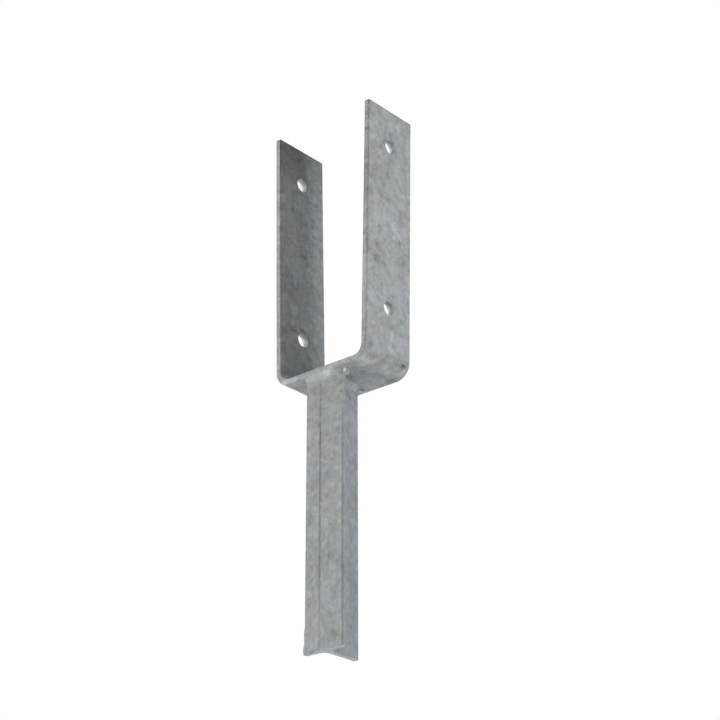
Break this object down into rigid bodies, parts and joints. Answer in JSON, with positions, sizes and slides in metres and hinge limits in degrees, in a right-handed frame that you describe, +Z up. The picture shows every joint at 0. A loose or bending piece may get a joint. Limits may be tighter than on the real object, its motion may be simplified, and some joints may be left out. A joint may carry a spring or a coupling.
{
  "type": "timber post base",
  "caption": "U-shaped galvanised steel post base whose T-section leg is cast into concrete; a timber post sits in the fork and is bolted through both cheeks.",
  "frame": {"origin": "on the level of the leg's foot, under the middle of the flat bar, the bottom centre of the bounding box", "axes": "+X across the fork from cheek to cheek, along the bolts; +Y along the bar's width, from the flange's outer face towards the stem's toe; +Z up from the foot to the fork's open top"},
  "size_m": [0.0956, 0.05, 0.419],
  "materials": {
    "galvanised_bar": "dull mottled hot-dip zinc on mild steel flat bar, with small pits and run marks",
    "galvanised_tee": "dull mottled hot-dip zinc on a hot-rolled steel tee",
    "galvanised_weld": "hot-dip zinc over a fillet weld bead, slightly brighter and smoother"
  },
  "bodies": {
    "root": {"u_bracket": "galvanised_bar", "tee_leg": "galvanised_tee", "weld_flange": "galvanised_weld", "weld_stem_right": "galvanised_weld", "weld_stem_left": "galvanised_weld"}
  },
  "joints": []
}
